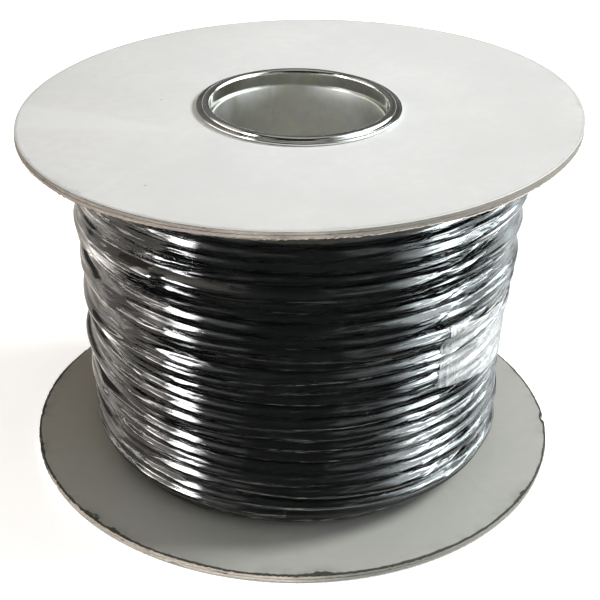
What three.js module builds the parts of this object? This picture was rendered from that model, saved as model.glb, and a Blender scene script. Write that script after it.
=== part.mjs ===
// A film-wrapped reel of black single-core cable: two laminated paperboard flanges on a tinplate core,
// 100 m of cable wound between them, and clear stretch film round the winding.
// Millimetres, +Z up. The origin is on the reel's axis, on the plane that the lower rim stands on.
import * as THREE from "three";

// Driving dimensions
const FLANGE_RADIUS = 100; // an 8 inch class reel, 200 mm across
const FLANGE_SPAN = 133; // from the outer face of one flange to the outer face of the other
const RIM_HEIGHT = 2.4; // how far a rolled rim stands proud of its flange
const LINER = 0.35; // white face paper
const BOARD = 1.15; // one ply of greyboard
const INNER_LINER = 0.3; // plain paper that faces the cable
const GLUE_LINE = 0.05; // between one ply and the next
const FLANGE_HOLE_RADIUS = 32.7;
const CLEAR_RADIUS = 42; // outside this, nothing stands on a flange's outer face
const BORE_RADIUS = 30.7; // clear bore of the core, for a spindle
const TINPLATE = 0.5; // wall of the core tube
const RIM_BORE_RADIUS = 31.75; // mouth of the rolled rim, just wider than the bore
const RIM_RADIUS = 36.8; // outside of the rolled rim
const SLEEVE_LENGTH = 16; // how far a rim's sleeve reaches into the core
const FIT_GAP = 0.3; // between one piece of the core and the next
const STEP_DEPTH = 3.3; // from a flange's outer face down to the rolled end of the core tube
const BARREL_RADIUS = 38; // outside of the board tube that the cable is wound on
const CABLE_DIAMETER = 4.4;
const WINDING_RADIUS = 78.6; // outside of the winding, over its lower half
const WINDING_SWELL = 1.7; // how much fatter the loosely laid upper half is
const FILM = 0.4; // several turns of clear stretch film, pulled tight
const FILM_SLACK = 0.3; // where the film bridges from one turn of cable to the next
const UPPER_FILM_SLACK = FILM_SLACK + FILM + 0.2; // the upper wrap laps over the lower one
const TAPE = 0.2;
const TAPE_STAND_OFF = UPPER_FILM_SLACK + FILM + 0.7; // to the middle of the tape
const TAPE_WIDTH = 26;
const TAPE_LENGTH = 112;

// Heights worked out from them
const LOWER_FACE = RIM_HEIGHT;
const UPPER_FACE = RIM_HEIGHT + FLANGE_SPAN;
const HEIGHT = FLANGE_SPAN + 2 * RIM_HEIGHT;
const MIDDLE = HEIGHT / 2;
const FLANGE = LINER + 2 * BOARD + INNER_LINER + 3 * GLUE_LINE;
const LOWER_SEAT = LOWER_FACE + FLANGE;
const UPPER_SEAT = UPPER_FACE - FLANGE;

// How finely the round pieces are faceted
const FLANGE_SIDES = 64;
const CORE_SIDES = 48;
const WRAP_SIDES = 48;

const finishes = {
  whiteLiner: { color: 0xdcdedd, roughness: 0.75, metalness: 0 },
  outerBoard: { color: 0x9b9184, roughness: 0.95, metalness: 0 },
  innerBoard: { color: 0xa89486, roughness: 0.95, metalness: 0 },
  greyLiner: { color: 0xaaa8a0, roughness: 0.9, metalness: 0 },
  tinplate: { color: 0xb9b7ac, roughness: 0.22, metalness: 1 },
  barrelBoard: { color: 0x9a8a72, roughness: 0.95, metalness: 0 },
  cableSheath: { color: 0x121413, roughness: 0.4, metalness: 0 },
  clearFilm: { color: 0xe8eef0, roughness: 0.12, metalness: 0, transparent: true, opacity: 0.25 },
  clearTape: { color: 0xe6e8e6, roughness: 0.35, metalness: 0, transparent: true, opacity: 0.5 },
};

const reel = new THREE.Group();

function addPiece(name, geometry, finish) {
  const piece = new THREE.Mesh(geometry, new THREE.MeshStandardMaterial(finish));
  piece.name = name;
  reel.add(piece);
}

// Turns a closed outline of [radius, height] points, given anticlockwise, about the reel's axis.
function turned(outline, sides) {
  const points = [...outline, outline[0]].map(([radius, height]) => new THREE.Vector2(radius, height));
  return new THREE.LatheGeometry(points, sides).rotateX(Math.PI / 2);
}

// A flat ring or a plain tube, whose ends are made of bands that meet at the given radii.
function ring(radii, bottom, top, sides) {
  const lowerEnd = radii.map((radius) => [radius, bottom]);
  const upperEnd = radii.map((radius) => [radius, top]).reverse();
  return turned([...lowerEnd, ...upperEnd], sides);
}

// The same outline seen upside down, for the piece at the other end of the reel.
function mirrored(outline) {
  return outline.map(([radius, height]) => [radius, HEIGHT - height]).reverse();
}

// Points on an arc round a centre, from one angle to another in degrees.
function arc(centreRadius, centreHeight, radius, from, to, steps) {
  return Array.from({ length: steps + 1 }, (_, i) => {
    const angle = THREE.MathUtils.degToRad(from + ((to - from) * i) / steps);
    return [centreRadius + radius * Math.cos(angle), centreHeight + radius * Math.sin(angle)];
  });
}

// Flanges: four plies each, listed from the outer face inwards
const plies = [
  { name: "face_liner", thickness: LINER, finish: finishes.whiteLiner },
  { name: "outer_board", thickness: BOARD, finish: finishes.outerBoard },
  { name: "inner_board", thickness: BOARD, finish: finishes.innerBoard },
  { name: "inner_liner", thickness: INNER_LINER, finish: finishes.greyLiner },
];

function addFlange(end, outerFace, inwards) {
  let depth = 0;
  for (const { name, thickness, finish } of plies) {
    const near = outerFace + inwards * depth;
    const far = outerFace + inwards * (depth + thickness);
    const radii = [FLANGE_HOLE_RADIUS, CLEAR_RADIUS, FLANGE_RADIUS];
    const geometry = ring(radii, Math.min(near, far), Math.max(near, far), FLANGE_SIDES);
    addPiece(`${end}_${name}`, geometry, finish);
    depth += thickness + GLUE_LINE;
  }
}

// Rolled rims: a sleeve down the core, a tall inner bead with a flat crest, and a lower outer hem.
// Heights here are above the flange's outer face, and the rim keeps a glue line's gap to it.
function rimOutline() {
  const sleeveOutside = FLANGE_HOLE_RADIUS - FIT_GAP;
  const crestHalf = 0.35; // half of the flat crest that the reel stands on
  const beadRadius = 1.15;
  const beadHeight = RIM_HEIGHT - beadRadius;
  const innerCentre = RIM_BORE_RADIUS + beadRadius;
  const outerCentre = innerCentre + 2 * crestHalf;
  const groove = [outerCentre + beadRadius, beadHeight - beadRadius / 2]; // between bead and hem
  const hemRadius = 0.65;
  const hemCentre = RIM_RADIUS - hemRadius;
  const outline = [
    [RIM_BORE_RADIUS, -SLEEVE_LENGTH],
    [sleeveOutside, -SLEEVE_LENGTH],
    [sleeveOutside, GLUE_LINE],
    [hemCentre + hemRadius / 2, GLUE_LINE],
    ...arc(hemCentre, hemRadius + GLUE_LINE, hemRadius, -20, 110, 3),
    groove,
    ...arc(outerCentre, beadHeight, beadRadius, 0, 90, 2),
    ...arc(innerCentre, beadHeight, beadRadius, 90, 180, 2),
  ];
  return outline.map(([radius, height]) => [radius, UPPER_FACE + height]);
}

// Core tube: a thin wall whose two ends are rolled outwards into small round shoulders
function coreTubeOutline() {
  const outside = BORE_RADIUS + TINPLATE;
  const rollRadius = (RIM_BORE_RADIUS - FIT_GAP / 2 - BORE_RADIUS) / 2;
  const rollCentre = BORE_RADIUS + rollRadius;
  const end = UPPER_FACE - STEP_DEPTH;
  const upperRoll = [
    [outside, end - 4 * rollRadius],
    [rollCentre + rollRadius, end - 3 * rollRadius],
    ...arc(rollCentre, end - rollRadius, rollRadius, 0, 180, 3),
  ];
  const lowerRoll = mirrored(upperRoll);
  return [...lowerRoll, ...upperRoll];
}

// Winding: the outer shape of all the turns together, drawn in at both flanges and fuller above the middle
const SWOLLEN_RADIUS = WINDING_RADIUS + WINDING_SWELL;
const windingSide = [
  [WINDING_RADIUS - 1.2 * CABLE_DIAMETER, LOWER_SEAT + GLUE_LINE],
  [WINDING_RADIUS - 0.4 * CABLE_DIAMETER, LOWER_SEAT + CABLE_DIAMETER / 2],
  [WINDING_RADIUS, LOWER_SEAT + 1.5 * CABLE_DIAMETER],
  [WINDING_RADIUS, MIDDLE],
  [SWOLLEN_RADIUS, MIDDLE + 1.5 * CABLE_DIAMETER],
  [SWOLLEN_RADIUS, UPPER_SEAT - 1.5 * CABLE_DIAMETER],
  [SWOLLEN_RADIUS - 0.4 * CABLE_DIAMETER, UPPER_SEAT - GLUE_LINE],
];

// Film: a thin skin over part of the winding's side, standing off it by a little slack
function skinOutline(side, standOff) {
  const outer = side.map(([radius, height]) => [radius + standOff + FILM, height]);
  const inner = side.map(([radius, height]) => [radius + standOff, height]);
  return [...outer, ...inner.reverse()];
}

// The winding's radius at a height, along straight lines between the points of its side.
function sideRadius(height) {
  const above = windingSide.findIndex((point) => point[1] > height);
  const [r0, h0] = windingSide[above - 1];
  const [r1, h1] = windingSide[above];
  return r0 + ((r1 - r0) * (height - h0)) / (h1 - h0);
}

// Tape: a strip that starts on the front right and slants down as it goes round the film
function tapeGeometry() {
  const startAngle = THREE.MathUtils.degToRad(39);
  const slant = 0.33; // how much it drops for each millimetre that it runs
  const startHeight = LOWER_FACE + 68;
  const strip = new THREE.BoxGeometry(TAPE_LENGTH, TAPE_WIDTH, TAPE, 16, 5, 1);
  const position = strip.getAttribute("position");
  for (let i = 0; i < position.count; i += 1) {
    const run = position.getX(i) + TAPE_LENGTH / 2;
    const angle = startAngle + run / WINDING_RADIUS;
    const height = startHeight - slant * run + position.getY(i);
    const radius = sideRadius(height) + TAPE_STAND_OFF + position.getZ(i);
    position.setXYZ(i, radius * Math.sin(angle), -radius * Math.cos(angle), height);
  }
  return strip;
}

addFlange("top", UPPER_FACE, -1);
addFlange("bottom", LOWER_FACE, 1);

addPiece("top_rim", turned(rimOutline(), CORE_SIDES), finishes.tinplate);
addPiece("bottom_rim", turned(mirrored(rimOutline()), CORE_SIDES), finishes.tinplate);
addPiece("core_tube", turned(coreTubeOutline(), CORE_SIDES), finishes.tinplate);

const barrelRadii = [FLANGE_HOLE_RADIUS, BARREL_RADIUS];
const barrel = ring(barrelRadii, LOWER_SEAT + GLUE_LINE, UPPER_SEAT - GLUE_LINE, CORE_SIDES);
addPiece("barrel_tube", barrel, finishes.barrelBoard);

const windingInside = [
  [BARREL_RADIUS + FIT_GAP, UPPER_SEAT - GLUE_LINE],
  [BARREL_RADIUS + FIT_GAP, LOWER_SEAT + GLUE_LINE],
];
addPiece("cable_winding", turned([...windingSide, ...windingInside], WRAP_SIDES), finishes.cableSheath);

const lowerFilm = windingSide.slice(1, 5);
addPiece("film_lower_wrap", turned(skinOutline(lowerFilm, FILM_SLACK), WRAP_SIDES), finishes.clearFilm);

const upperFilm = windingSide.slice(3);
addPiece("film_upper_wrap", turned(skinOutline(upperFilm, UPPER_FILM_SLACK), WRAP_SIDES), finishes.clearFilm);

addPiece("closing_tape", tapeGeometry(), finishes.clearTape);

export default reel;
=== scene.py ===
"""A film-wrapped reel of black cable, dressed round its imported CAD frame. Metres, +Z up, front towards -Y."""

import math

import bpy
import numpy as np
from mathutils import Matrix, Vector


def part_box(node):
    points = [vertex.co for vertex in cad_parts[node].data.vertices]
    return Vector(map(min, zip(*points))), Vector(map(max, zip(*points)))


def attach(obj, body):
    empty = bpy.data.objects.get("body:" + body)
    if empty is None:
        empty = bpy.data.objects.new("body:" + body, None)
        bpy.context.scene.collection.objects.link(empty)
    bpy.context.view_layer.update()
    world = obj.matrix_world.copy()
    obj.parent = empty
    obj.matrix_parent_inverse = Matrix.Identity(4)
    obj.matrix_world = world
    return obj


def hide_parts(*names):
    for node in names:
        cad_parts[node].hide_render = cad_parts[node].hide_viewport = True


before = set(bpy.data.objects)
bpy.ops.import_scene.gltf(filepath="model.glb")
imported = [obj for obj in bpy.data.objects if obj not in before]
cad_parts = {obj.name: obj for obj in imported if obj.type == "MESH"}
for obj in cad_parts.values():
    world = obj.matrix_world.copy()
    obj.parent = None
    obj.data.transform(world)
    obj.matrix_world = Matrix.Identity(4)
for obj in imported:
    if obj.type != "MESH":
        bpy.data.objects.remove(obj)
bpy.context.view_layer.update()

MM = 0.001
TURN = 2 * math.pi

# Places taken from the frame
LOWER_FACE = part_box("bottom_face_liner")[0].z
UPPER_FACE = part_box("top_face_liner")[1].z
LOWER_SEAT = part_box("bottom_inner_liner")[1].z
UPPER_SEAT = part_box("top_inner_liner")[0].z
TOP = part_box("top_rim")[1].z
MIDDLE = TOP / 2
FLANGE_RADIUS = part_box("top_face_liner")[1].x
RIM_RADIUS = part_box("top_rim")[1].x
BARREL_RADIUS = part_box("barrel_tube")[1].x
SLEEVE_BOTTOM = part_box("top_rim")[0].z
CORE_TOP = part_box("core_tube")[1].z

# Sizes that the frame's boxes don't give
FLANGE_HOLE_RADIUS = 32.7 * MM
RIM_BORE_RADIUS = 31.75 * MM
BORE_RADIUS = 30.7 * MM
CABLE_DIAMETER = 4.4 * MM
CABLE_RADIUS = CABLE_DIAMETER / 2
CABLE_LENGTH = 100.0
FILM_THICKNESS = 0.08 * MM
FLANGE_TILT = math.radians(2.03)  # the top board leans up to the right, where it isn't pressed home

rng = np.random.default_rng(24)


# Small numeric tools


def smoothstep(low, high, x):
    t = np.clip((x - low) / (high - low), 0, 1)
    return t * t * (3 - 2 * t)


def mix(a, b, t):
    return a + (b - a) * t


def half_turns(angle):
    """The same angle between minus half a turn and half a turn."""
    return (angle + math.pi) % TURN - math.pi


def on_reel(radius, angle, height):
    """Points round the reel's axis. An angle of 0 is at the front."""
    return np.stack([radius * np.sin(angle), -radius * np.cos(angle), height], -1)


def smoothed(values, reach):
    """A running average of a row of values, weighted towards its middle."""
    weights = np.hanning(2 * reach + 3)[1:-1]
    return np.convolve(np.pad(values, (reach, reach), "edge"), weights / weights.sum(), "valid")


def around(angle, terms, low, high):
    """Smooth random waves round the reel, about 1 high, with low to high of them in a turn."""
    total = np.zeros_like(angle)
    for _ in range(terms):
        total += np.cos(rng.integers(low, high + 1) * angle + rng.uniform(0, TURN))
    return total / math.sqrt(terms / 2)


def around_and_up(angle, height, terms, waves, wavelength):
    """The same over angle and height. wavelength is the range of their upright spacing."""
    total = np.zeros(np.broadcast(angle, height).shape)
    for _ in range(terms):
        turns = rng.integers(waves[0], waves[1] + 1) * rng.choice([-1, 1])
        upright = TURN / rng.uniform(*wavelength)
        total += np.cos(turns * angle + upright * height + rng.uniform(0, TURN))
    return total / math.sqrt(terms / 2)


def lean(points):
    """Tilts the top board and what touches its underside: nothing at the rim, the full lean at the edge."""
    radius = np.hypot(points[..., 0], points[..., 1])
    share = np.clip((radius - RIM_RADIUS) / (FLANGE_RADIUS - RIM_RADIUS), 0, 1.2) ** 1.1
    share = share * smoothstep(UPPER_SEAT - 45 * MM, UPPER_SEAT, points[..., 2])
    moved = points.copy()
    moved[..., 2] += points[..., 0] * math.tan(FLANGE_TILT) * share
    return moved


# Meshes


def add_mesh(name, points, faces, sharp_degrees=None, caps=()):
    mesh = bpy.data.meshes.new(name)
    mesh.from_pydata(points.reshape(-1, 3).tolist(), [], [*faces.tolist(), *caps])
    mesh.shade_smooth()
    if sharp_degrees:
        mesh.set_sharp_from_angle(angle=math.radians(sharp_degrees))
    piece = bpy.data.objects.new(name, mesh)
    bpy.context.scene.collection.objects.link(piece)
    return piece


def grid_faces(rows, columns, wrap_rows=False, wrap_columns=False):
    """Quads over a grid of points numbered row by row."""
    i, j = np.meshgrid(
        np.arange(rows if wrap_rows else rows - 1),
        np.arange(columns if wrap_columns else columns - 1),
        indexing="ij",
    )
    down, right = (i + 1) % rows, (j + 1) % columns
    corners = [i * columns + j, down * columns + j, down * columns + right, i * columns + right]
    return np.stack(corners, -1).reshape(-1, 4)


def turned(name, outline, segments, shape=None, upside_down=False):
    """Turns a closed outline of (radius, height) points, anticlockwise, about the reel's axis.
    shape(angle, radius, height) may return a changed radius and height for every point."""
    outline = np.array(outline)
    angle = np.arange(segments)[:, None] * TURN / segments + np.zeros(len(outline))
    radius = outline[:, 0] + np.zeros_like(angle)
    height = outline[:, 1] + np.zeros_like(angle)
    if shape:
        radius, height = shape(angle, radius, height)
    faces = grid_faces(segments, len(outline), wrap_rows=True, wrap_columns=True)
    faces = faces[:, ::-1] if upside_down else faces
    return add_mesh(name, on_reel(radius, angle, height), faces, 50)


def arc(radius, height, size, start, end, steps):
    """Points on an arc from start to end degrees, where 0 points outwards and 90 up."""
    angle = np.radians(np.linspace(start, end, steps + 1))
    return list(zip(radius + size * np.cos(angle), height + size * np.sin(angle)))


# The cable, wound turn by turn

STEPS = 160  # points on each turn
OUTER_TURNS = 68  # the last ones wound, which are the ones that show
LAYERS = 10
TURNS_PER_LAYER = 28  # at most
START_ANGLE = math.radians(200)
FIRST_TURN_RADIUS = BARREL_RADIUS + 0.3 * MM + CABLE_RADIUS
LOOSE_LAYERS = 2  # the outer ones, which are laid less evenly
LOOSE_INSETS = (1.15, 0.15)  # how far they stop short of the flanges, in diameters, the outermost first
SQUASH = 0.925  # how close the middles of touching turns come, in diameters: the sheath gives a little
LOOSE_SQUASH = 0.965
KNOT_SPACING = 40  # points along the cable between the changes of its slow wander


def layer_heights(layer):
    """Heights of one layer's turns: a helix from flange to flange, which wanders on the outer layers."""
    loose = np.clip((layer - (LAYERS - LOOSE_LAYERS - 1)) / LOOSE_LAYERS, 0, 1)
    from_outside = LAYERS - 1 - layer
    inset = LOOSE_INSETS[from_outside] * CABLE_DIAMETER if from_outside < LOOSE_LAYERS else 0
    low = LOWER_SEAT + CABLE_RADIUS + inset
    high = UPPER_SEAT - CABLE_RADIUS - inset - 1.0 * MM
    turns = int((high - low) / ((0.985 + 0.03 * loose) * CABLE_DIAMETER))
    path = np.arange(turns)[:, None] + np.arange(STEPS) / STEPS
    share = path / turns
    wander = np.zeros_like(path)
    for waves in range(1, 5):
        for _ in range(2):
            across = np.cos(TURN * waves * path + rng.uniform(0, TURN))
            along = np.cos(TURN * rng.uniform(0.5, 3) * share + rng.uniform(0, TURN))
            wander += rng.normal() / waves * across * along
    wander *= (0.2 + 0.5 * loose) * MM * np.clip(12 * share * (1 - share), 0, 1)
    heights = low + (high - low) * share + wander
    return heights if layer % 2 == 0 else low + high - heights


def resting_radius(height, heights, radii, reach):
    """Where a turn comes to rest on those already wound. It bridges the low spots, as a tight cable does."""
    gap = np.abs(heights - height)
    lift = np.sqrt(np.maximum(reach**2 - gap**2, 0))
    radius = np.where(gap < reach, radii + lift, 0).max(0)
    radius = np.maximum(radius, FIRST_TURN_RADIUS)
    padded = np.pad(radius, 1, "edge")
    radius = np.maximum(radius, np.maximum(padded[:-2], padded[2:]))
    return smoothed(radius, 3)


def wind_cable():
    """The cable's centreline as radius and height for each turn (row) at each angle (column)."""
    layers = [layer_heights(layer) for layer in range(LAYERS)]
    layer_of = np.repeat(np.arange(LAYERS), [len(x) for x in layers])
    heights = np.concatenate(layers)
    knots = rng.normal(size=heights.size // KNOT_SPACING + 4)
    nudge = smoothed(np.interp(np.arange(heights.size) / KNOT_SPACING, np.arange(len(knots)), knots), 30)
    loose = np.clip((layer_of - (LAYERS - LOOSE_LAYERS - 1)) / LOOSE_LAYERS, 0.05, 1)
    heights = heights + nudge.reshape(heights.shape) * loose[:, None] * 0.45 * MM
    heights = np.clip(heights, LOWER_SEAT + CABLE_RADIUS, UPPER_SEAT - CABLE_RADIUS)
    radii = np.zeros_like(heights)
    radii[0] = FIRST_TURN_RADIUS
    nearest = 60  # turns back, which is more than two layers
    for turn in range(1, len(heights)):
        reach = CABLE_DIAMETER * (SQUASH if layer_of[turn] < LAYERS - LOOSE_LAYERS else LOOSE_SQUASH)
        back = slice(max(0, turn - nearest), turn)
        radii[turn] = resting_radius(heights[turn], heights[back], radii[back], reach)
    radii = smoothed(radii.ravel(), 6).reshape(heights.shape)
    swell = smoothstep(MIDDLE + 6 * MM, MIDDLE + 22 * MM, heights) * (layer_of[:, None] >= LAYERS - 1)
    return radii + 1.1 * MM * swell, heights


turn_radius, turn_height = wind_cable()


def cable_points():
    """The centreline as points, in order from the barrel outwards, cut to the cable's length."""
    angle = START_ANGLE + np.arange(turn_radius.size) * TURN / STEPS
    points = lean(on_reel(turn_radius.ravel(), angle, turn_height.ravel()))
    run = np.cumsum(np.linalg.norm(np.diff(points, axis=0), axis=1))
    return points[: np.searchsorted(run, CABLE_LENGTH) + 1]


def tube(name, path, sides):
    """A round tube with closed ends along a path that winds round the Z axis."""
    along = np.gradient(path, axis=0)
    along /= np.linalg.norm(along, axis=1)[:, None]
    out = path * [1, 1, 0]
    out /= np.linalg.norm(out, axis=1)[:, None]
    up = np.cross(out, along)
    out = np.cross(along, up)
    angle = (np.arange(sides) + 0.5) * TURN / sides
    ring = out[:, None] * np.cos(angle)[:, None] + up[:, None] * np.sin(angle)[:, None]
    points = path[:, None] + ring * CABLE_RADIUS
    end = len(path) * sides
    caps = [list(range(sides)), list(range(end - 1, end - sides - 1, -1))]
    return add_mesh(name, points, grid_faces(len(path), sides, wrap_columns=True), caps=caps)


# The film, drawn over the outer turns as a height field on the winding's side

COLUMNS = 264
ROWS = 350
column_angle = np.arange(COLUMNS) * TURN / COLUMNS
row_height = np.linspace(LOWER_SEAT + 0.6 * MM, UPPER_SEAT - 0.8 * MM, ROWS)
ROW_STEP = row_height[1] - row_height[0]
WRAP_RADIUS = 80 * MM  # the winding's, near enough for distances round it
LOWER_ZONE, UPPER_ZONE = (5, 80), (68, 132)  # millimetres up, between which each film's folds lie


def turns_at_columns():
    """Radius and height of the outer three layers' turns at the film's own angles."""
    outer = 3 * TURNS_PER_LAYER
    start = START_ANGLE / TURN * STEPS
    first_points = np.arange(turn_radius.shape[0])[-outer:, None] * STEPS
    step = first_points + np.arange(COLUMNS) * STEPS / COLUMNS - start
    flat = np.arange(turn_radius.size)
    return [np.interp(step, flat, values.ravel()) for values in (turn_radius, turn_height)]


def cable_envelope():
    """How far out the cable's surface reaches at each height (row) and angle (column)."""
    surface = np.full((ROWS, COLUMNS), BARREL_RADIUS)
    for radius, height in zip(*turns_at_columns()):
        offset = row_height[:, None] - height
        bulge = np.sqrt(np.maximum(CABLE_RADIUS**2 - offset**2, 0))
        surface = np.where(np.abs(offset) < CABLE_RADIUS, np.maximum(surface, radius + bulge), surface)
    return surface


def blurred(field, rows, columns):
    """A blur that stops at the top and bottom edges and runs round the reel."""
    for _ in range(rows):
        padded = np.pad(field, ((1, 1), (0, 0)), "edge")
        field = (padded[:-2] + 2 * field + padded[2:]) / 4
    for _ in range(columns):
        field = (np.roll(field, 3, 1) + 2 * field + np.roll(field, -3, 1)) / 4
    return field


def draped(surface, passes, rows, columns):
    """A skin pulled over a bumpy surface: it rests on the high places and sags a little into the low ones."""
    skin = surface
    for _ in range(passes):
        skin = np.maximum(surface, blurred(skin, rows, columns))
    return skin


def folds(count, length, width, size, slant, zone):
    """Long thin creases that run almost level round the film, each tapering to nothing at both ends. All but
    their number and slant are ranges in millimetres."""
    length, width, size, zone = (np.array(span) * MM for span in (length, width, size, zone))
    total = np.zeros((ROWS, COLUMNS))
    for _ in range(count):
        middle, centre = rng.uniform(0, TURN), rng.uniform(*zone)
        half, thick = rng.uniform(*length) / 2, rng.uniform(*width)
        tall, lie = rng.uniform(*size), rng.normal() * slant
        run = half_turns(column_angle - middle) * WRAP_RADIUS
        bow = lie * run + 0.6 * MM * np.sin(run / half * 2 + middle)
        taper = np.cos(np.clip(run / half, -1, 1) * math.pi / 2) ** 2
        offset = (row_height[:, None] - centre - bow) / (thick * (0.35 + 0.65 * taper))
        total += tall * taper * np.exp(-np.abs(offset) ** 1.5)
    return total


def helical_bands(angle, height):
    """The upper film climbs as it goes round, and each pass bulges (1) between two drawn-in edges (0)."""
    start = 80 * MM + 3.5 * MM * np.sin(angle)
    pitch = 14.6 * MM
    phase = (height - start) / pitch - 0.1 * np.sin(2 * angle + 1) - 0.06 * np.sin(5 * angle)
    return np.abs(np.sin(math.pi * phase)) ** 0.7


def rolled_edge(angle, height):
    """The upper film's drawn edge, rolled into a cord on the right. It climbs as it goes round."""
    side = half_turns(angle)
    line = LOWER_FACE + 79.8 * MM + 7.3 * MM * (side + math.pi / 2) / math.pi
    cord = np.exp(-np.abs((height - line - 0.3 * MM * np.sin(9 * side)) / (1.5 * MM)) ** 2.5)
    return 1.2 * MM * cord * smoothstep(0.2, 0.7, side) * smoothstep(1.75, 1.3, side)


def slack_patch(field, angle, height):
    """Smooths the film at the upper left, where it stands off the turns and leans out, and so shows dark."""
    side = np.degrees(half_turns(angle))
    share = smoothstep(-66, -59, side) * smoothstep(-31, -34.5, side)
    half = mix(1.6, 3.4, smoothstep(-62, -40, side)) * MM
    off = (height - MIDDLE - 29.2 * MM) / half
    lean_out = math.tan(math.radians(11))
    rise = np.clip(off + 1, 0, 2) * half * lean_out + 0.6 * MM * smoothstep(-1.3, -0.9, off)
    rise = rise * smoothstep(1 + 9 * MM / half, 1, off)
    inside = share * smoothstep(1.3, 0.95, np.abs(off))
    return mix(field, blurred(field, 400, 2), inside) + share * rise


def film_fields():
    """How far out each of the two films stands, at every row and column."""
    surface = cable_envelope()
    angle, height = column_angle[None], row_height[:, None]
    tight = draped(surface, 10, 1, 1)
    slack = draped(surface, 70, 2, 3)
    bridged = smoothstep(0.2, 1.6, around_and_up(angle, height, 24, (1, 9), (5 * MM, 24 * MM)))
    ripple = around_and_up(angle, height, 16, (7, 18), (7 * MM, 20 * MM))
    lower = mix(tight, slack, 0.75 * bridged) + (0.14 + 0.05 * ripple) * MM
    calm = 0.4 + 0.6 * smoothstep(-0.45, 0.5, np.sin(angle))
    lower += calm * folds(260, (20, 80), (0.5, 0.9), (0.05, 0.24), 0.06, LOWER_ZONE)
    lower += calm * folds(700, (14, 60), (0.34, 0.55), (0.06, 0.22), 0.06, LOWER_ZONE)
    drawn = folds(300, (22, 75), (0.4, 0.6), (0.12, 0.3), 0.12, LOWER_ZONE)
    lower += drawn * (0.35 + 0.65 * smoothstep(0.1, 0.8, np.sin(angle)))
    puff = smoothstep(MIDDLE + 6 * MM, MIDDLE + 18 * MM, height)
    loose = (0.15 + 0.6 * puff) * MM + 0.75 * MM * helical_bands(angle, height)
    loose = loose * smoothstep(UPPER_SEAT, UPPER_SEAT - 3 * MM, height)
    wave = around_and_up(angle, height, 14, (1, 5), (9 * MM, 26 * MM))
    upper = mix(tight, slack, 0.4 + 0.5 * bridged) + loose + (0.12 * wave + 0.08 * ripple) * MM
    upper += rolled_edge(angle, height)
    upper += folds(150, (30, 110), (0.5, 1.3), (0.08, 0.45), 0.08, UPPER_ZONE)
    upper += calm * folds(480, (16, 70), (0.34, 0.55), (0.06, 0.24), 0.06, UPPER_ZONE)
    upper += calm * folds(200, (25, 90), (0.4, 0.6), (0.12, 0.32), 0.1, UPPER_ZONE)
    upper = np.maximum(slack_patch(upper, angle, height), lower + 0.2 * MM)
    return lower, upper


lower_film, upper_film = film_fields()


def sampled(field, angle, height):
    """The field's value between its own rows and columns."""
    column = (angle % TURN) / TURN * COLUMNS
    row = np.clip((height - row_height[0]) / ROW_STEP, 0, ROWS - 1.001)
    i, j = row.astype(int), column.astype(int) % COLUMNS
    down, right = row - i, column % 1
    near = mix(field[i, j], field[i, (j + 1) % COLUMNS], right)
    far = mix(field[i + 1, j], field[i + 1, (j + 1) % COLUMNS], right)
    return mix(near, far, down)


def skin(name, radius, angle, height, closed):
    """A thin closed shell of film over a grid of heights (rows) and angles. closed runs it all round."""
    rows, columns = radius.shape
    points = np.stack([lean(on_reel(radius - depth, angle, height)) for depth in (0, FILM_THICKNESS)])
    outer = grid_faces(rows, columns, wrap_columns=closed)[:, ::-1]
    inner = outer[:, ::-1] + rows * columns
    across = columns if closed else columns - 1
    j = np.arange(across)
    last = (rows - 1) * columns
    rims = [(j, (j + 1) % columns), (last + (j + 1) % columns, last + j)]
    if not closed:
        i = np.arange(rows - 1) * columns
        rims += [(i + columns, i), (i + columns - 1, i + 2 * columns - 1)]
    edges = [np.stack([a, a + rows * columns, b + rows * columns, b], -1) for a, b in rims]
    return add_mesh(name, points, np.concatenate([outer, inner, *edges]), 60)


def film_wrap(name, field, low_edge, high_edge, rows, roll):
    """One wrap of film between two heights that vary round the reel. roll is how thick its rolled edge is."""
    share = np.linspace(0, 1, rows)[:, None]
    angle = column_angle[None] + np.zeros((rows, 1))
    height = mix(low_edge[None], high_edge[None], share)
    radius = sampled(field, angle, height)
    radius += roll * np.exp(-(((height - low_edge[None] - 0.8 * MM) / (0.9 * MM)) ** 2))
    return skin(name, radius, angle, height, closed=True)


def build_film():
    low = LOWER_SEAT + 2.4 * MM + 0.3 * MM * around(column_angle, 6, 3, 12)
    lap = MIDDLE + 6.5 * MM + 0.8 * MM * around(column_angle, 6, 1, 7)
    lower = film_wrap("film_lower", lower_film, low, lap, 186, 0)
    edge = MIDDLE + 0.6 * MM + 2.2 * MM * np.sin(column_angle - 0.4)
    edge = edge + 0.5 * MM * around(column_angle, 6, 2, 9)
    high = UPPER_SEAT - 1.2 * MM + 0.2 * MM * around(column_angle, 6, 3, 12)
    upper = film_wrap("film_upper", upper_film, edge, high, 176, 0.4 * MM)
    return lower, upper


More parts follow.
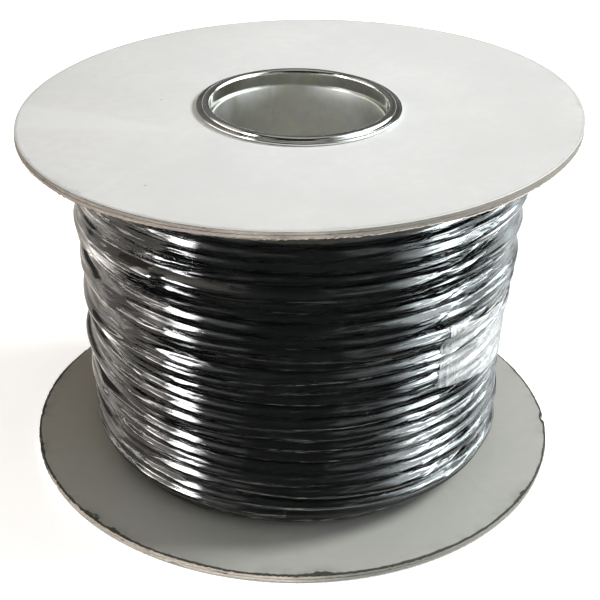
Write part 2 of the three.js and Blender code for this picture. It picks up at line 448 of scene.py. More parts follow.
def build_tape():
    """The film's end: a creased, hazy strip that starts on the front right and slants down behind."""
    rows, columns = 60, 180
    width, length = 26 * MM, 112 * MM
    run = np.linspace(0, length, columns)[None] + np.zeros((rows, 1))
    across = np.linspace(-width / 2, width / 2, rows)[:, None] + np.zeros((1, columns))
    ragged = 0.5 * MM * np.interp(across[:, 0], np.linspace(-width / 2, width / 2, 9), rng.normal(size=9))
    run = run + ragged[:, None] * np.exp(-run / (6 * MM))
    angle = math.radians(39) + run / (79 * MM)
    height = LOWER_FACE + 68 * MM - 0.2 * run + across
    upper_here = smoothstep(MIDDLE - 2 * MM, MIDDLE, row_height[:, None])
    both = draped(np.maximum(lower_film, upper_film * upper_here), 11, 1, 1)
    radius = sampled(both, angle, height) + 0.14 * MM
    creases = around_and_up(run / (20 * MM), across, 30, (1, 12), (2 * MM, 14 * MM))
    radius += 0.07 * MM * np.clip(np.abs(creases), 0, 1.6) ** 0.6
    return skin("film_end_tape", radius, angle, height, closed=False)


# Flanges

FLANGE_SEGMENTS = 900


def ply_outline(bottom, top, inner, rounding):
    """A flat ring of board with rounded outer corners, and with enough rings of points to lean smoothly."""
    edge = FLANGE_RADIUS
    bands = [inner, RIM_RADIUS, *(r * MM for r in (42, 50, 60, 70, 80, 90, 96, 98.6))]
    lower = [(r, bottom) for r in bands]
    upper = [(r, top) for r in reversed(bands)]
    side = arc(edge - rounding, bottom + rounding, rounding, -90, 0, 3)
    side += arc(edge - rounding, top - rounding, rounding, 0, 90, 3)
    return lower + side + upper


# Small dark marks on the top face, as x, y and radius, and the line that a faint paler wedge follows
FACE_MARKS = (
    (-47.6 * MM, -67.4 * MM, 0.4 * MM),
    (-49.5 * MM, 4.9 * MM, 0.4 * MM),
    (-49.7 * MM, 9.9 * MM, 0.3 * MM),
)
FACE_PALE_WEDGE = ((-98 * MM, -7 * MM), (-33 * MM, -28 * MM))

# Knocks in the lower flange's edge: azimuth and width in degrees, and depth
KNOCKS = (
    (89.8, 0.75, 1.1 * MM),
    (-76.6, 0.9, 0.7 * MM),
    (-60.8, 0.5, 0.5 * MM),
    (-87.5, 0.5, 0.35 * MM),
    (-70.5, 0.4, 0.3 * MM),
    (139, 1.2, 0.8 * MM),
    (-150, 0.8, 0.9 * MM),
)


def knocked(angle):
    """How far the knocks push the lower flange's edge in."""
    total = np.zeros_like(angle)
    for azimuth, width, depth in KNOCKS:
        offset = half_turns(angle - math.radians(azimuth))
        total += depth * np.exp(-np.abs(offset / math.radians(width)) ** 3)
    return total


def board_shape(fray, sag, lift):
    """Frays a ply's outer edge, leans it with the top flange where lift is true and knocks it if not."""

    def shape(angle, radius, height):
        ring = angle[:, :1]
        fibre = around(ring, 30, 150, 420)
        chips = np.clip(around(ring, 16, 20, 90) - 1.6, 0, None)
        out_here = smoothstep(98.2 * MM, FLANGE_RADIUS, radius)
        radius = radius + out_here * (fray * fibre - 3 * fray * chips + 0.12 * MM * around(ring, 5, 1, 4))
        if not lift:
            radius = radius - out_here * knocked(ring)
        height = height + out_here * sag * (0.6 * around(ring, 24, 60, 300) + 0.8 * around(ring, 8, 3, 20))
        if lift:
            height = lean(on_reel(radius, angle, height))[..., 2]
        return radius, height

    return shape


def build_flange(end):
    """The four plies of one flange. The unsupported paper inside sags more than the board."""
    pieces = {}
    frays = {"face_liner": 0.03, "outer_board": 0.07, "inner_board": 0.1, "inner_liner": 0.09}
    for ply, fray in frays.items():
        low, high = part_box(f"{end}_{ply}")
        rounding = min(0.3 * (high.z - low.z), 0.2 * MM)
        outline = ply_outline(low.z, high.z, FLANGE_HOLE_RADIUS, rounding)
        sag = {"inner_liner": 0.13, "inner_board": 0.02}.get(ply, 0.008) * MM
        shape = board_shape(fray * MM, sag, end == "top")
        pieces[f"{end}_{ply}"] = turned(f"{end}_flange_{ply}", outline, FLANGE_SEGMENTS, shape)
    return pieces


# Tinplate core

CORE_SEGMENTS = 256


def rim_outline():
    """A thin sleeve that turns out at the mouth into a tall bead, dips into a groove and ends in a low hem.
    Heights are above the flange's outer face."""
    bead, bead_radius = 1.35 * MM, RIM_BORE_RADIUS + 1.5 * MM
    hem = 0.65 * MM
    hem_radius = RIM_RADIUS - hem
    crest = TOP - UPPER_FACE
    sleeve_out = RIM_BORE_RADIUS + 0.6 * MM
    return [
        (RIM_BORE_RADIUS, SLEEVE_BOTTOM - UPPER_FACE),
        (sleeve_out, SLEEVE_BOTTOM - UPPER_FACE),
        (sleeve_out, 0.05 * MM),
        (hem_radius, 0.05 * MM),
        *arc(hem_radius, 0.05 * MM + hem, hem, -60, 150, 9),
        (bead_radius + 1.75 * MM, 0.55 * MM),
        *arc(bead_radius + 0.15 * MM, crest - bead, bead, 0, 90, 8),
        *arc(bead_radius - 0.15 * MM, crest - bead, bead, 90, 180, 8),
        (RIM_BORE_RADIUS, -0.5 * MM),
    ]


def rim_shape(sign, base):
    """Sets a rim at one end of the reel, with the small dents that handling leaves in its edge."""

    def shape(angle, radius, height):
        ring = angle[:, :1]
        dents = np.clip(around(ring, 12, 8, 40) - 1.5, 0, 1.5)
        proud = smoothstep(0.2 * MM, 2 * MM, height)
        radius = radius + proud * (0.05 * MM * around(ring, 6, 2, 9) - 0.05 * MM * dents)
        height = height - proud * 0.14 * MM * dents
        return radius, base + sign * height

    return shape


def build_rim(end, sign, base):
    return turned(f"{end}_rolled_rim", rim_outline(), CORE_SEGMENTS, rim_shape(sign, base), sign < 0)


def tube_shape(angle, radius, height):
    """Rolled sheet is never quite round, and its lock seam runs up the inside."""
    ring = angle[:, :1]
    seam = np.exp(-((half_turns(ring - math.radians(200)) / math.radians(1.2)) ** 2))
    flat = 0.06 * MM * around(ring, 5, 2, 6)
    return radius + flat - 0.18 * MM * seam, height + np.zeros_like(ring)


def build_core_tube():
    """The lining of the core, whose ends are rolled outwards just inside the rims."""
    wall = 0.5 * MM
    roll = (RIM_BORE_RADIUS - 0.15 * MM - BORE_RADIUS) / 2
    rolled = arc(BORE_RADIUS + roll, CORE_TOP - roll, roll, -70, 180, 12)
    upper = [(BORE_RADIUS + wall, CORE_TOP - 2.6 * roll), *rolled]
    lower = [(r, TOP - z) for r, z in reversed(upper)]
    inside = [(BORE_RADIUS, z) for z in np.linspace(CORE_TOP - 2 * roll, TOP - CORE_TOP + 2 * roll, 24)]
    return turned("core_lining_tube", lower + upper + inside[1:-1], CORE_SEGMENTS, tube_shape)


def build_barrel():
    """The board tube that the cable is wound on."""
    low, high = LOWER_SEAT + 0.05 * MM, UPPER_SEAT - 0.05 * MM
    inner, outer = FLANGE_HOLE_RADIUS, BARREL_RADIUS
    outline = [(inner, low), (outer, low), (outer, high), (inner, high)]
    return turned("barrel_board_tube", outline, CORE_SEGMENTS)


# Materials


class NodeTree:
    """Short calls for the nodes that a material and the world share. place is the point being shaded."""

    def __init__(self, tree, coordinate):
        self.nodes, self.links = tree.nodes, tree.links
        self.place = self.nodes.new("ShaderNodeTexCoord").outputs[coordinate]

    def put(self, value, socket):
        """Feeds a socket from another node's, or sets it."""
        if isinstance(value, bpy.types.NodeSocket):
            self.links.new(value, socket)
        elif hasattr(value, "__len__") and len(value) == 3 and len(socket.default_value) == 4:
            socket.default_value = (*value, 1)
        else:
            socket.default_value = value

    def maths(self, operation, a, b=0.5, clamp=False):
        node = self.nodes.new("ShaderNodeMath")
        node.operation = operation
        node.use_clamp = clamp
        self.put(a, node.inputs[0])
        self.put(b, node.inputs[1])
        return node.outputs[0]

    def mixed(self, share, a, b):
        """Mixes two shaders."""
        node = self.nodes.new("ShaderNodeMixShader")
        for value, socket in zip((share, a, b), node.inputs):
            self.put(value, socket)
        return node.outputs[0]

    def times(self, a, b):
        return self.maths("MULTIPLY", a, b)

    def plus(self, a, b):
        return self.maths("ADD", a, b)

    def minus(self, a, b):
        return self.maths("SUBTRACT", a, b)

    def xyz(self):
        split = self.nodes.new("ShaderNodeSeparateXYZ")
        self.put(self.place, split.inputs[0])
        return split.outputs

    def azimuth(self):
        """The angle round the Z axis in radians: 0 towards the camera, a quarter turn to the right."""
        x, y, _ = self.xyz()
        return self.maths("ARCTAN2", x, self.times(y, -1.0))

    def ramp(self, value, low, high, to_low=0.0, to_high=1.0):
        node = self.nodes.new("ShaderNodeMapRange")
        node.interpolation_type = "SMOOTHSTEP"
        for name, given in (("From Min", low), ("From Max", high), ("To Min", to_low), ("To Max", to_high)):
            node.inputs[name].default_value = given
        self.put(value, node.inputs["Value"])
        return node.outputs[0]


class Look(NodeTree):
    """A node material with a Principled shader, and short calls for the nodes that feed it."""

    def __init__(self, name, **constants):
        self.material = bpy.data.materials.new(name)
        self.material.use_nodes = True
        super().__init__(self.material.node_tree, "Object")
        self.shader = self.nodes["Principled BSDF"]
        self.output = self.nodes["Material Output"]
        self.shade = None
        for socket, value in constants.items():
            self.shader.inputs[socket.replace("_", " ")].default_value = value

    def noise(self, scale, stretch=(1, 1, 1), detail=4, roughness=0.55, warp=0, at=None):
        mapping = self.nodes.new("ShaderNodeMapping")
        mapping.inputs["Scale"].default_value = [scale * s for s in stretch]
        self.put(at or self.place, mapping.inputs["Vector"])
        node = self.nodes.new("ShaderNodeTexNoise")
        node.inputs["Scale"].default_value = 1
        node.inputs["Detail"].default_value = detail
        node.inputs["Roughness"].default_value = roughness
        node.inputs["Distortion"].default_value = warp
        self.put(mapping.outputs[0], node.inputs["Vector"])
        return node.outputs["Fac"]

    def specks(self, spacing, size, few):
        """Small round spots, spaced about that far apart, on a share of few of the places."""
        node = self.nodes.new("ShaderNodeTexVoronoi")
        node.inputs["Scale"].default_value = 1 / spacing
        self.put(self.place, node.inputs["Vector"])
        near = self.ramp(node.outputs["Distance"], 1.3 * size / spacing, 0.7 * size / spacing)
        split = self.nodes.new("ShaderNodeSeparateColor")
        self.put(node.outputs["Color"], split.inputs[0])
        return self.times(near, self.maths("LESS_THAN", split.outputs[0], few))

    def blend(self, share, a, b):
        node = self.nodes.new("ShaderNodeMix")
        node.data_type = "RGBA"
        node.clamp_factor = True
        self.put(share, node.inputs["Factor"])
        self.put(a, node.inputs[6])
        self.put(b, node.inputs[7])
        return node.outputs[2]

    def tint(self, share, colour, strength=1.0):
        """Mixes a colour into the shade so far, by a share of up to the strength."""
        self.shade = self.blend(share if strength == 1.0 else self.times(share, strength), self.shade, colour)

    def radius(self, centre=(0.0, 0.0)):
        """Distance from an upright line, which is the reel's axis if no other is given."""
        x, y = (self.minus(value, middle) for value, middle in zip(self.xyz(), centre))
        return self.maths("SQRT", self.plus(self.times(x, x), self.times(y, y)))

    def across(self, start, end):
        """How far off a line on a flange's face, and how far along it from 0 to 1."""
        x, y, _ = self.xyz()
        run, rise = end[0] - start[0], end[1] - start[1]
        length = math.hypot(run, rise)
        x, y = self.minus(x, start[0]), self.minus(y, start[1])
        off = self.minus(self.times(x, rise / length), self.times(y, run / length))
        along = self.plus(self.times(x, run / length**2), self.times(y, rise / length**2))
        return self.maths("ABSOLUTE", off), along

    def slanting(self, rise):
        """Places sheared so that a streak laid level in them climbs as it goes round the winding."""
        x, y, z = self.xyz()
        join = self.nodes.new("ShaderNodeCombineXYZ")
        climb = self.times(self.azimuth(), rise * WRAP_RADIUS)
        for value, socket in zip((x, y, self.minus(z, climb)), join.inputs):
            self.put(value, socket)
        return join.outputs[0]

    def drawn_lines(self, rise, length, spacing, width):
        """Thin stretch lines of about that length and spacing. The slanting ones fade out at the back."""
        at = self.slanting(rise)
        field = self.noise(1, stretch=(1 / length, 1 / length, 1 / spacing), detail=1, warp=0.3, at=at)
        line = self.ramp(self.maths("ABSOLUTE", self.minus(field, 0.5)), 0.0, width, 1.0, 0.0)
        line = self.times(line, self.ramp(self.maths("ABSOLUTE", self.azimuth()), 3.1, 2.7))
        return self.times(line, self.ramp(self.azimuth(), -0.6, 0.4, 0.3, 1.0))

    def bruised(self, radius):
        """The dark crescents round the knocks in the lower flange's edge."""
        azimuth, total = self.azimuth(), 0.0
        for centre, width, depth in KNOCKS:
            offset = self.times(self.minus(azimuth, math.radians(centre)), 1 / math.radians(5 * width))
            reach = self.minus(1.0, self.times(offset, offset))
            outer = self.plus(radius, self.times(reach, 1.6 * depth))
            crescent = self.ramp(outer, FLANGE_RADIUS, FLANGE_RADIUS + 0.3 * MM)
            total = self.maths("ADD", crescent, total, clamp=True)
        return total

    def bump(self, value, distance, strength=1.0, below=None):
        node = self.nodes.new("ShaderNodeBump")
        node.inputs["Distance"].default_value = distance
        node.inputs["Strength"].default_value = strength
        self.put(value, node.inputs["Height"])
        if below is not None:
            self.put(below, node.inputs["Normal"])
        return node.outputs[0]

    def feed(self, **sockets):
        for socket, value in sockets.items():
            self.put(value, self.shader.inputs[socket.replace("_", " ")])
        return self.material


def liner_material(name, colour, dirt, darkening, lip, marks=(), pale_wedge=None):
    """Coated face paper: nearly even, with faint clouding, fine fibres and a few specks. An uneven line of wear
    near its outer edge darkens it as strongly as darkening says, and the cut edge itself is the lip's colour."""
    look = Look(name, IOR=1.46)
    cloud = look.noise(22, detail=5, roughness=0.6)
    patch = look.noise(11, detail=3, roughness=0.5)
    fibre = look.noise(900, detail=3)
    mottle = look.noise(210, roughness=0.6)
    red, green, blue = colour
    faint, full = [c * 0.955 for c in colour], [c * 1.02 for c in colour]
    look.shade = look.blend(look.ramp(cloud, 0.3, 0.7), faint, full)
    look.tint(look.ramp(patch, 0.4, 0.65, 0, 0.5), (red * 1.02, green * 0.985, blue * 0.97))
    look.tint(look.ramp(fibre, 0.35, 0.75, 0, 0.25), [c * 0.93 for c in colour])
    look.tint(look.ramp(mottle, 0.36, 0.64, 0, 0.5), (red * 0.94, green * 0.92, blue * 0.92))
    look.tint(look.specks(34 * MM, 0.42 * MM, 0.3), dirt, 0.75)
    for x, y, size in marks:
        look.tint(look.ramp(look.radius((x, y)), 1.25 * size, 0.8 * size), dirt, 0.8)
    # A faint paler wedge along that line, widest at its start and gone by its end.
    if pale_wedge:
        off, along = look.across(*pale_wedge)
        wide = look.times(look.minus(1.0, along), 13 * MM)
        paler = look.ramp(look.maths("DIVIDE", off, look.maths("MAXIMUM", wide, 0.5 * MM)), 1.2, 0.5, 0, 0.55)
        look.tint(look.times(paler, look.ramp(along, 1.0, 0.6)), [c * 1.06 for c in colour])
    look.tint(look.specks(9 * MM, 0.2 * MM, 0.22), dirt, 0.3)
    scuff = look.ramp(look.noise(45, stretch=(1, 5, 1), detail=6, roughness=0.75, warp=0.6), 0.62, 0.74)
    look.tint(scuff, dirt, 0.08)
    radius = look.radius()
    broad = look.times(look.ramp(look.noise(38, detail=5, roughness=0.7), 0.46, 0.68), darkening)
    rub = look.times(look.ramp(radius, FLANGE_RADIUS - 7 * MM, FLANGE_RADIUS), 0.35)
    look.tint(look.times(broad, rub), dirt)
    wander = look.times(look.noise(75, detail=7, roughness=0.78), 2.4 * MM)
    bruise = look.times(look.ramp(look.noise(38, detail=6, roughness=0.7), 0.56, 0.7), 1.7 * MM)
    ragged = look.plus(look.plus(radius, wander), bruise)
    line = look.ramp(ragged, FLANGE_RADIUS + 0.1 * MM, FLANGE_RADIUS + 0.5 * MM)
    line = look.maths("ADD", line, look.bruised(radius), clamp=True)
    look.tint(line, dirt, darkening)
    look.tint(look.ramp(radius, FLANGE_RADIUS - 0.25 * MM, FLANGE_RADIUS - 0.1 * MM), lip)
    rough = look.ramp(cloud, 0.3, 0.7, 0.5, 0.62)
    normal = look.bump(fibre, 0.02 * MM, 0.35)
    return look.feed(Base_Color=look.shade, Roughness=rough, Normal=normal)


def board_material(name, light, dark, glue, darkening):
    """Raw die-cut board: short fibres and thin pressed layers that run along the edge. darkening sets how much
    darker the side towards +X is, and where it is above 0.8 the far left is darker too."""
    look = Look(name, IOR=1.45)
    layers = look.noise(1, stretch=(90, 90, 3600), detail=5, roughness=0.65)
    blotch = look.noise(60, stretch=(1, 1, 2))
    fibre = look.noise(1, stretch=(700, 700, 2600), detail=3)
    look.shade = look.blend(look.ramp(layers, 0.38, 0.62), dark, light)
    look.tint(look.ramp(blotch, 0.38, 0.68, 0, 0.45), [c * 0.78 for c in dark])
    look.tint(look.ramp(fibre, 0.55, 0.7, 0, 0.55), [min(c * 1.35, 1) for c in light])
    streak = look.noise(1, stretch=(150, 150, 900), detail=2)
    look.tint(look.ramp(streak, 0.6, 0.7, 0, 0.7), glue)
    # Darker towards +X by up to the given amount, and at the far left where that amount is above 0.8.
    x = look.xyz()[0]
    right = look.plus(x, look.times(blotch, 30 * MM))
    look.tint(look.ramp(right, 0, 45 * MM, 0, darkening), (0.17, 0.175, 0.155))
    left = look.minus(look.times(blotch, 6 * MM), x)
    far_left_dark = look.ramp(left, FLANGE_RADIUS - 9 * MM, FLANGE_RADIUS - 4 * MM, 0, darkening if darkening > 0.8 else 0)
    look.tint(far_left_dark, (0.06, 0.057, 0.045))
    rough = look.ramp(fibre, 0.3, 0.7, 0.85, 1.0)
    normal = look.bump(layers, 0.08 * MM, 0.7, look.bump(fibre, 0.05 * MM, 0.6))
    return look.feed(Base_Color=look.shade, Roughness=rough, Normal=normal)


def tinplate_material(name, dullness_and_painted_light):
    """Bright tinned steel: smooth, with fine drawn lines, faint dulling and a few handling marks. A dullness
    above 1 blurs what it mirrors and makes the colour less yellow; it also makes the colour paler, which is
    painted light for the inside of the core."""
    look = Look(name, Metallic=1.0)
    dull = look.noise(120, detail=5, roughness=0.65)
    lines = look.noise(1, stretch=(400, 400, 6000), detail=3)
    marks = look.ramp(look.noise(260, stretch=(1, 1, 3), detail=6, roughness=0.8, warp=1.5), 0.66, 0.74)
    # Painted light: the rise with the dullness makes the duller inside of the core paler, standing in for light
    # that reaches it.
    bright = 0.78 + 0.04 * dullness_and_painted_light
    clean = (bright, bright, bright - 0.02 - 0.02 * dullness_and_painted_light)
    stained = (bright - 0.12, bright - 0.13, bright - 0.22 + 0.04 * dullness_and_painted_light)
    look.shade = look.blend(look.ramp(dull, 0.35, 0.7), clean, stained)
    look.tint(marks, (0.42, 0.38, 0.32), 0.5 / dullness_and_painted_light**4)
    spread = look.ramp(dull, 0.3, 0.75, 0.055 * dullness_and_painted_light**2, 0.125 * dullness_and_painted_light**1.6)
    rough = look.plus(spread, look.times(marks, 0.2 / dullness_and_painted_light**3))
    normal = look.bump(lines, 0.01 * MM, 0.25, look.bump(dull, 0.12 * MM, 0.35 / dullness_and_painted_light**1.5))
    return look.feed(Base_Color=look.shade, Roughness=rough, Normal=normal)


def sheath_material():
    """Black PVC: a soft even sheen, with faint extrusion lines and a little dust."""
    look = Look("cable_sheath", IOR=1.52)
    cloud = look.noise(130)
    lines = look.noise(1, stretch=(250, 250, 3800), detail=3)
    dust = look.ramp(look.noise(2200, detail=2), 0.68, 0.76)
    look.shade = look.blend(look.ramp(cloud, 0.3, 0.7), (0.005, 0.0056, 0.006), (0.009, 0.0098, 0.0102))
    look.tint(dust, (0.12, 0.12, 0.11), 0.16)
    rough = look.ramp(cloud, 0.3, 0.7, 0.3, 0.42)
    return look.feed(Base_Color=look.shade, Roughness=rough, Normal=look.bump(lines, 0.02 * MM, 0.4))


def kraft_material():
    """Spiral-wound kraft tube: brown, with fibres drawn out upright and a few darker blotches."""
    look = Look("barrel_kraft", IOR=1.45)
    fibre = look.noise(500, stretch=(1, 1, 0.3), detail=5, roughness=0.7)
    blotch = look.noise(60)
    look.shade = look.blend(look.ramp(fibre, 0.3, 0.7), (0.30, 0.21, 0.13), (0.42, 0.31, 0.2))
    look.tint(look.ramp(blotch, 0.35, 0.7, 0, 0.4), (0.24, 0.17, 0.1))
    rough = look.ramp(fibre, 0.3, 0.7, 0.8, 0.95)
    return look.feed(Base_Color=look.shade, Roughness=rough, Normal=look.bump(fibre, 0.05 * MM, 0.5))


def film_material(name, gloss, haze, rough, margin=None):
    """Clear film: what is behind shows through, under a sharp gloss and a little white haze. Across the
    margin's azimuths the haze comes up slowly, in upright streaks."""
    look = Look(name, IOR=1.5)
    fine = look.noise(1, stretch=(30, 30, 600), detail=1, roughness=0.5, warp=0.2)
    crumple = look.noise(120, stretch=(1, 1, 3.5), detail=3, warp=0.8)
    streak = look.noise(1, stretch=(24, 24, 480), detail=2, roughness=0.5, warp=0.4)
    crease = look.ramp(look.maths("ABSOLUTE", look.minus(streak, 0.5)), 0.0, 0.05, 1.0, 0.0)
    normal = look.bump(crumple, 0.08 * MM, 0.07)
    normal = look.bump(fine, 0.1 * MM, 0.1, normal)
    normal = look.bump(crease, 0.05 * MM, 0.6, normal)
    normal = look.bump(look.drawn_lines(0.13, 70 * MM, 4.6 * MM, 0.03), 0.12 * MM, 0.4, normal)
    normal = look.bump(look.drawn_lines(-0.05, 80 * MM, 5.5 * MM, 0.025), 0.1 * MM, 0.35, normal)
    smear = look.ramp(look.noise(80, stretch=(1, 1, 2.5), detail=5, roughness=0.7), 0.4, 0.72)
    look.shade = look.blend(look.ramp(crumple, 0.35, 0.65), (0.84, 0.89, 0.9), (0.95, 0.98, 0.98))
    dust = look.times(look.specks(6 * MM, 0.16 * MM, 0.2), 0.5)
    look.tint(dust, (0.62, 0.57, 0.4))
    roughness = look.ramp(crumple, 0.3, 0.75, rough, rough * 2.2)
    look.feed(Base_Color=look.shade, Roughness=roughness, Normal=normal)
    clear = look.nodes.new("ShaderNodeBsdfTransparent")
    shine = look.nodes.new("ShaderNodeBsdfGlossy")
    look.put(roughness, shine.inputs["Roughness"])
    look.put(normal, shine.inputs["Normal"])
    fresnel = look.nodes.new("ShaderNodeFresnel")
    fresnel.inputs["IOR"].default_value = 1.5
    look.put(normal, fresnel.inputs["Normal"])
    white = look.ramp(smear, 0, 1, haze * 0.6, haze * 1.4)
    if margin:
        upright = look.ramp(look.noise(1, stretch=(900, 900, 60), detail=3), 0.42, 0.62)
        inside = look.ramp(look.azimuth(), *margin)
        share = look.plus(look.times(upright, 0.6), 0.3)
        share = look.maths("ADD", share, look.times(inside, 0.6), clamp=True)
        white = look.times(white, share)
    hazy = look.mixed(look.maths("ADD", white, dust, clamp=True), clear.outputs[0], look.shader.outputs[0])
    mirrored = look.maths("MULTIPLY", fresnel.outputs[0], gloss, clamp=True)
    look.put(look.mixed(mirrored, hazy, shine.outputs[0]), look.output.inputs["Surface"])
    return look.material


# Assembly


def dress(piece, material, slot, *nodes):
    """Gives a piece its material, parents it to the root body and hides the CAD nodes that it stands for."""
    piece.data.materials.clear()
    piece.data.materials.append(material)
    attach(piece, "root")
    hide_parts(*nodes)
    return piece


def dress_flanges():
    tan, tan_dark = (0.50, 0.43, 0.38), (0.34, 0.285, 0.25)
    stone, stone_dark = (0.46, 0.425, 0.38), (0.29, 0.265, 0.235)
    glue = (0.16, 0.125, 0.11)
    white, grey, shaded = (0.785, 0.81, 0.813), (0.42, 0.43, 0.398), (0.34, 0.31, 0.265)
    dirt, grime, grime_edge = (0.2, 0.185, 0.16), (0.035, 0.033, 0.027), (0.045, 0.042, 0.035)
    looks = {
        ("top", "face_liner"): liner_material(
            "white_liner", white, (0.4, 0.39, 0.37), 0.3, (0.62, 0.62, 0.58), FACE_MARKS, FACE_PALE_WEDGE
        ),
        ("top", "inner_liner"): liner_material("grey_liner_top", shaded, dirt, 0.4, (0.66, 0.6, 0.54)),
        ("bottom", "inner_liner"): liner_material("grey_liner_bottom", grey, grime, 0.92, grime_edge),
        ("top", "outer_board"): board_material("greyboard_top", stone, stone_dark, glue, 0.75),
        ("top", "inner_board"): board_material("brownboard_top", tan, tan_dark, glue, 0.72),
        # Painted light: the lower boards' pale cream tones stand in for light falling on their cut edge from
        # the lower front.
        ("bottom", "outer_board"): board_material("greyboard_bottom", (0.86, 0.78, 0.65), stone, glue, 0.85),
        ("bottom", "inner_board"): board_material("brownboard_bottom", (0.86, 0.77, 0.64), tan, glue, 0.85),
    }
    looks["bottom", "face_liner"] = looks["top", "face_liner"]
    slots = {
        "face_liner": "white_liner",
        "outer_board": "greyboard",
        "inner_board": "brownboard",
        "inner_liner": "grey_liner",
    }
    for end in ("top", "bottom"):
        for node, piece in build_flange(end).items():
            ply = node.removeprefix(f"{end}_")
            dress(piece, looks[end, ply], slots[ply], node)


def dress_core():
    bright = tinplate_material("tinplate", 1.0)
    dress(build_rim("top", 1, UPPER_FACE), bright, "tinplate", "top_rim")
    dress(build_rim("bottom", -1, LOWER_FACE), bright, "tinplate", "bottom_rim")
    dress(build_core_tube(), tinplate_material("tinplate_inside", 2.4), "tinplate", "core_tube")
    dress(build_barrel(), kraft_material(), "barrel_board", "barrel_tube")


def dress_cable():
    """The turns that show are a rounder tube than the ones that they hide."""
    path = cable_points()
    split = len(path) - OUTER_TURNS * STEPS
    sheath = sheath_material()
    inner = tube("cable_inner_turns", path[: split + 1 : 2], 6)
    outer = tube("cable_outer_turns", path[split - split % 2 :], 9)
    dress(inner, sheath, "cable_sheath", "cable_winding")
    dress(outer, sheath, "cable_sheath", "cable_winding")


def dress_wrapping():
    lower, upper = build_film()
    tape = build_tape()
    clear = film_material("clear_film", 2.0, 0.004, 0.012)
    dress(lower, clear, "clear_film", "film_lower_wrap")
    dress(upper, clear, "clear_film", "film_upper_wrap")
    hazy = film_material("clear_tape", 1.6, 0.62, 0.1, (math.radians(38), math.radians(47)))
    dress(tape, hazy, "clear_tape", "closing_tape")


# Stage, light and camera


def build_floor():
    half = 6.0
    corners = np.array([(-half, -half, 0), (half, -half, 0), (half, half, 0), (-half, half, 0)])
    floor = add_mesh("floor", corners, np.array([(0, 1, 2, 3)]))
    floor.visible_glossy = False
    look = Look("floor", Roughness=0.9)
    cloud = look.noise(2, detail=2)
    look.feed(
        Base_Color=look.blend(cloud, [0.93] * 3, [0.96] * 3),
        Emission_Color=look.blend(cloud, [0.97] * 3, [1.0] * 3),
        Emission_Strength=look.ramp(look.radius(), 0.4, 1.4, 0.6, 1.0),
    )
    floor.data.materials.append(look.material)


class Tent(NodeTree):
    """A studio tent for the world: soft-edged panels round the reel, placed by azimuth in degrees and by the
    sine of their elevation."""

    def light(self, amount, colour):
        node = self.nodes.new("ShaderNodeVectorMath")
        node.operation = "SCALE"
        node.inputs[0].default_value = colour
        self.put(amount, node.inputs["Scale"])
        return node.outputs[0]

    def add(self, a, b):
        node = self.nodes.new("ShaderNodeVectorMath")
        self.put(a, node.inputs[0])
        self.put(b, node.inputs[1])
        return node.outputs[0]

    def band(self, value, low, high, feather):
        """1 between low and high, falling to 0 over the feather outside them."""
        return self.times(self.ramp(value, low - feather, low), self.ramp(value, high + feather, high))

    def panel(self, degrees, ups, brightness, colour, feathers=(6, 0.1)):
        shape = self.band(self.times(self.azimuth(), 180 / math.pi), *degrees, feathers[0])
        shape = self.times(shape, self.band(self.xyz()[2], *ups, feathers[1]))
        return self.light(self.times(shape, brightness), colour)


def tent_light(tent):
    """What the glossy pieces mirror: bright on the right, a narrow strip at the left, dark in front."""
    total = tent.light(tent.ramp(tent.xyz()[2], -1.0, 0.7, 0.01, 0.018), (0.9, 1.0, 1.0))
    cool, warm, plain = (0.95, 1.0, 1.02), (1.02, 0.99, 0.96), (1.0, 1.0, 1.0)
    low_behind = (-1.1, -0.75), 4.3, (1.0, 0.995, 0.93), (25, 0.3)
    for panel in (
        ((66, 120), (-0.25, 0.78), 2.2, (0.9, 1.0, 1.03), (20, 0.12)),
        ((70, 118), (0.08, 0.3), 8.0, (0.92, 1.0, 1.03), (16, 0.05)),
        ((28, 50), (0.12, 0.5), 0.3, cool, (12, 0.08)),
        ((128, 180), (-0.6, -0.12), 0.8, cool, (10, 0.1)),
        ((118, 180), (-0.05, 0.8), 0.09, (1.0, 1.0, 0.98), (10, 0.1)),
        ((-60, -57), (-0.08, 0.5), 13.0, plain, (10, 0.12)),
        ((-50, -30), (0.15, 0.45), 0.2, plain, (8, 0.1)),
        ((-116, -74), (-0.5, 0.72), 0.62, (1.05, 0.98, 0.91), (6, 0.12)),
        ((-108, -72), (0.08, 0.22), 3.0, warm, (6, 0.05)),
        ((-180, -112), (-0.6, -0.05), 0.6, (1.05, 0.97, 0.88)),
        ((-180, -118), (0.0, 0.8), 0.14, plain),
        ((-180, 180), (0.93, 1.1), 0.4, (1.0, 1.0, 0.98), (6, 0.06)),
        ((152, 180), *low_behind),
        ((-180, -152), *low_behind),
    ):
        total = tent.add(total, tent.panel(*panel))
    return total


def sky_light(tent):
    """What lights the rest: a smooth sky, brightest at the front right and faintly warm at the back left."""
    facing = tent.maths("COSINE", tent.minus(tent.azimuth(), math.radians(52)))
    return tent.add(
        tent.light(tent.ramp(facing, -0.7, 1.0, 0.08, 0.9), (0.97, 1.0, 1.02)),
        tent.light(tent.ramp(facing, 0.2, -0.8, 0.0, 0.2), (1.0, 0.55, 0.05)),
    )


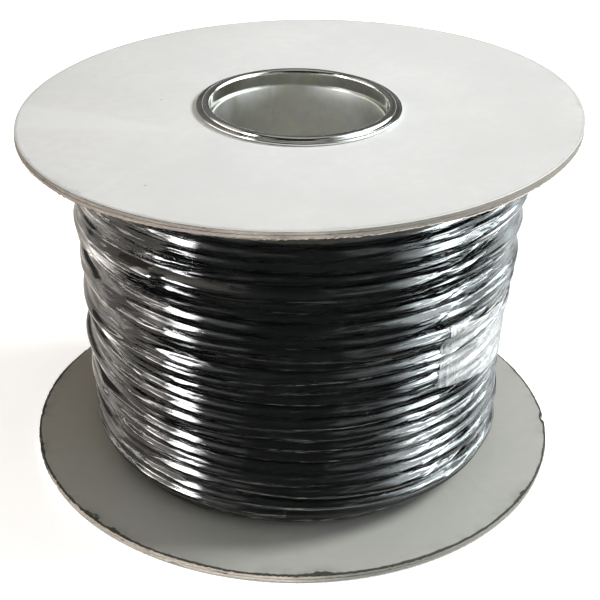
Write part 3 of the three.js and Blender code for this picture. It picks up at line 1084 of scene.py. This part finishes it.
def build_light():
    """The world: glossy rays see the tent, the camera sees plain white, and all other rays see the sky."""
    world = bpy.data.worlds.new("studio")
    bpy.context.scene.world = world
    world.use_nodes = True
    tent = Tent(world.node_tree, "Generated")
    nodes = tent.nodes
    background = nodes["Background"]
    path = nodes.new("ShaderNodeLightPath")
    pick = nodes.new("ShaderNodeMix")
    pick.data_type = "RGBA"
    tent.put(path.outputs["Is Glossy Ray"], pick.inputs["Factor"])
    tent.put(sky_light(tent), pick.inputs[6])
    tent.put(tent_light(tent), pick.inputs[7])
    tent.put(pick.outputs[2], background.inputs["Color"])
    seen = nodes.new("ShaderNodeBackground")
    seen.inputs["Color"].default_value = (1, 1, 1, 1)
    all_rays = tent.mixed(path.outputs["Is Camera Ray"], background.outputs[0], seen.outputs[0])
    tent.put(all_rays, nodes["World Output"].inputs["Surface"])


def build_key_light():
    """A soft box to the right, which shades the reel's left side. The tent replaces it in reflections."""
    azimuth, elevation, distance = math.radians(100), math.radians(40), 1.5
    data = bpy.data.lights.new("key", "AREA")
    data.shape, data.size, data.energy = "DISK", 0.5, 20.5
    key = bpy.data.objects.new("key", data)
    level = distance * math.cos(elevation)
    place = Vector((level * math.sin(azimuth), -level * math.cos(azimuth), distance * math.sin(elevation)))
    key.location = place
    key.rotation_euler = place.to_track_quat("Z", "Y").to_euler()
    key.visible_glossy = False
    bpy.context.scene.collection.objects.link(key)


def build_camera():
    """Stands in front, 29 degrees above the reel, and turned about its own axis by a degree or so."""
    elevation, roll = math.radians(28.98), 0.0212
    distance = 0.5395
    target = Vector((1.8 * MM, 0, MIDDLE - 12 * MM))
    back = Vector((0, -math.cos(elevation), math.sin(elevation)))
    right = Vector((1, 0, 0))
    up = back.cross(right)
    x = right * math.cos(roll) + up * math.sin(roll)
    y = up * math.cos(roll) - right * math.sin(roll)
    data = bpy.data.cameras.new("camera")
    data.lens, data.sensor_width = 84.64, 36
    camera = bpy.data.objects.new("camera", data)
    turn = Matrix((x, y, back)).transposed().to_4x4()
    camera.matrix_world = Matrix.Translation(target + back * distance) @ turn
    bpy.context.scene.collection.objects.link(camera)
    bpy.context.scene.camera = camera
    bpy.context.scene.view_settings.view_transform = "Standard"


build_camera()
build_floor()
build_light()
build_key_light()
dress_flanges()
dress_core()
dress_cable()
dress_wrapping()
